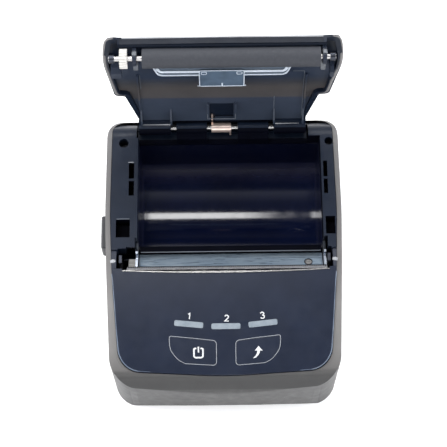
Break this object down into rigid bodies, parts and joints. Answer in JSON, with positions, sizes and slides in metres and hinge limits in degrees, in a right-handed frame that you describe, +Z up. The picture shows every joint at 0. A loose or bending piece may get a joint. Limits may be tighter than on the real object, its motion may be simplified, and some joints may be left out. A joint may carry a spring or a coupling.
{
  "type": "portable receipt printer",
  "caption": "Portable thermal receipt printer with its hinged paper cover standing open over an empty curved paper well, platen roller in the cover.",
  "frame": {"origin": "on the base plane under the middle of the case", "axes": "+X right, +Y to the back where the hinge is, +Z up"},
  "size_m": [0.1132, 0.1385, 0.1209],
  "materials": {
    "grey_shell": "fine texture",
    "dark_cover": "satin",
    "well_gloss": "high gloss",
    "liner_dark": "satin",
    "roller_rubber": "matt",
    "white_nylon": "satin",
    "steel": "turned",
    "zinc": "rolled sheet",
    "aluminium": "brushed",
    "copper_wire": "drawn wire",
    "bronze": "sintered",
    "ceramic": "glazed",
    "black_screw": "black oxide",
    "led_lens": "frosted",
    "board": "solder mask",
    "black_plastic": "moulded",
    "wrap": "heat shrink",
    "cells": "can",
    "gold": "plated",
    "film": "flexible film",
    "button_dark": "satin"
  },
  "bodies": {
    "case": {"base_shell": "grey_shell", "battery_cells": "cells", "battery_contacts": "gold", "battery_cover": "grey_shell", "battery_cover_screws": "black_screw", "battery_sleeve": "wrap", "board_chips": "black_plastic", "case_screws": "black_screw", "charging_jack": "black_plastic", "control_panel": "dark_cover", "gear_axles": "steel", "head_flat_cable": "film", "head_heatsink": "aluminium", "head_screws": "steel", "head_springs": "steel", "heater_line": "black_plastic", "hinge_pin": "steel", "led_chips": "led_lens", "led_window_left": "led_lens", "led_window_middle": "led_lens", "led_window_right": "led_lens", "main_board": "board", "mechanism_chassis": "zinc", "paper_sensor": "black_plastic", "paper_well": "well_gloss", "port_board": "board", "rail_screws": "black_screw", "release_bracket": "black_plastic", "release_spring": "steel", "roll_frame": "dark_cover", "stepper_motor": "steel", "tact_switches": "black_plastic", "tear_bar": "steel", "thermal_head": "ceramic", "usb_socket": "steel"},
    "cover": {"cover_shell": "dark_cover", "cover_liner": "liner_dark", "paper_guide": "steel", "guide_clip": "zinc", "hinge_spring": "copper_wire", "platen_bush_left": "bronze", "platen_bush_right": "bronze"},
    "platen": {"platen_rubber": "roller_rubber", "platen_shaft": "steel", "platen_gear": "white_nylon", "latch_collars": "bronze"},
    "drive_gear": {"drive_gear": "white_nylon"},
    "reduction_gear": {"reduction_gear": "white_nylon"},
    "motor_pinion": {"motor_pinion": "gold"},
    "latch": {"latch_lever": "steel"},
    "release_button": {"release_button": "grey_shell"},
    "power_button": {"power_button": "button_dark"},
    "feed_button": {"feed_button": "button_dark"}
  },
  "joints": [
    {"name": "cover_hinge", "type": "hinge", "parent": "case", "child": "cover", "pos_m": [0, 0.058, 0.0505], "axis": [1, 0, 0], "range_deg": [0, 95], "stiffness_Nm_per_rad": 0.018, "springref_deg": -63.03},
    {"name": "platen_spin", "type": "hinge", "parent": "cover", "child": "platen", "pos_m": [0, 0.06137, 0.11545], "axis": [1, 0, 0], "continuous": true},
    {"name": "drive_spin", "type": "hinge", "parent": "case", "child": "drive_gear", "pos_m": [0, -0.0114, 0.03871], "axis": [1, 0, 0], "continuous": true},
    {"name": "reduction_spin", "type": "hinge", "parent": "case", "child": "reduction_gear", "pos_m": [0, -0.01936, 0.03482], "axis": [1, 0, 0], "continuous": true},
    {"name": "pinion_spin", "type": "hinge", "parent": "case", "child": "motor_pinion", "pos_m": [0, -0.02806, 0.03062], "axis": [1, 0, 0], "continuous": true},
    {"name": "release_slide", "type": "slide", "parent": "case", "child": "release_button", "axis": [1, 0, 0], "range_m": [0, 0.002], "stiffness_N_per_m": 300, "springref_m": -0.0015, "deforming": ["release_spring"]},
    {"name": "latch_swing", "type": "hinge", "parent": "case", "child": "latch", "pos_m": [0, -0.0032, 0.0352], "axis": [1, 0, 0], "range_deg": [0, 10.1]},
    {"name": "power_press", "type": "slide", "parent": "case", "child": "power_button", "axis": [0, 0, -1], "range_m": [0, 0.0008], "stiffness_N_per_m": 400, "springref_m": -0.0004},
    {"name": "feed_press", "type": "slide", "parent": "case", "child": "feed_button", "axis": [0, 0, -1], "range_m": [0, 0.0008], "stiffness_N_per_m": 400, "springref_m": -0.0004}
  ],
  "couplings": [
    {"joint": "reduction_spin", "follows": "drive_spin", "ratio": -2.6667},
    {"joint": "pinion_spin", "follows": "drive_spin", "ratio": 8},
    {"joint": "latch_swing", "follows": "release_slide", "rad_per_m": 87.26}
  ]
}
